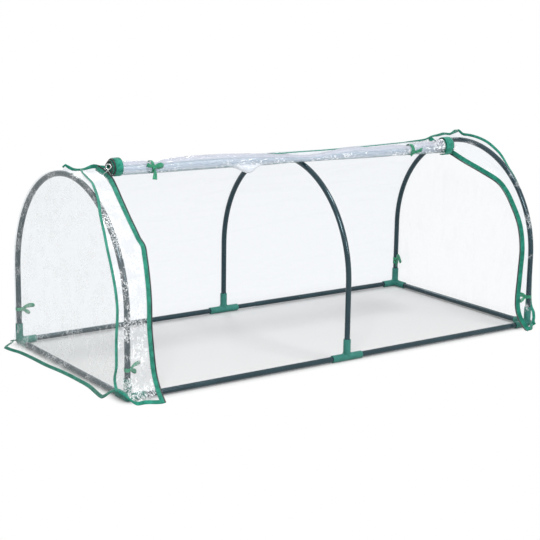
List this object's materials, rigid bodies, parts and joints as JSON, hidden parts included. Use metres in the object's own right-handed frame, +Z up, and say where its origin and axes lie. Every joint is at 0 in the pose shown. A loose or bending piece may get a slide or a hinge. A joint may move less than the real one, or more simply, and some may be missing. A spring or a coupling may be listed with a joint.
{
  "type": "polytunnel greenhouse",
  "caption": "Low tunnel greenhouse: tube hoops on a rectangular tube base with push-fit connectors, under a clear film cover whose zipped front is rolled up and tied.",
  "frame": {"origin": "centre of the footprint at ground level", "axes": "+X along the tunnel to the right seen from the open front, -Y towards the open front, +Z up"},
  "size_m": [1.8442, 0.8778, 0.7119],
  "materials": {
    "frame_tube": "gloss coated steel tube, very dark blue green",
    "connector": "satin moulded plastic, mid green",
    "film": "clear flexible film, glossy and creased",
    "binding": "woven polyester binding tape, green",
    "ribbon": "woven ribbon, lighter green",
    "slider": "plated zip slider"
  },
  "bodies": {
    "root": {"front_left_rail": "frame_tube", "front_right_rail": "frame_tube", "rear_left_rail": "frame_tube", "rear_right_rail": "frame_tube", "left_end_rail": "frame_tube", "right_end_rail": "frame_tube", "left_hoop": "frame_tube", "middle_hoop": "frame_tube", "right_hoop": "frame_tube", "front_left_corner": "connector", "front_right_corner": "connector", "rear_left_corner": "connector", "rear_right_corner": "connector", "front_tee": "connector", "rear_tee": "connector", "rear_sheet": "film", "left_front_strip": "film", "right_front_strip": "film", "left_end_panel": "film", "right_end_panel": "film", "rolled_door": "film", "rear_hem": "binding", "left_strip_hem": "binding", "right_strip_hem": "binding", "left_end_hem": "binding", "right_end_hem": "binding", "ridge_seam": "binding", "left_end_seam": "binding", "right_end_seam": "binding", "left_zip": "binding", "right_zip": "binding", "door_left_edge": "binding", "door_right_edge": "binding", "front_left_tie": "ribbon", "front_right_tie": "ribbon", "rear_left_tie": "ribbon", "rear_right_tie": "ribbon", "left_roll_tie": "ribbon", "right_roll_tie": "ribbon", "left_zip_slider": "slider", "right_zip_slider": "slider"}
  },
  "joints": []
}
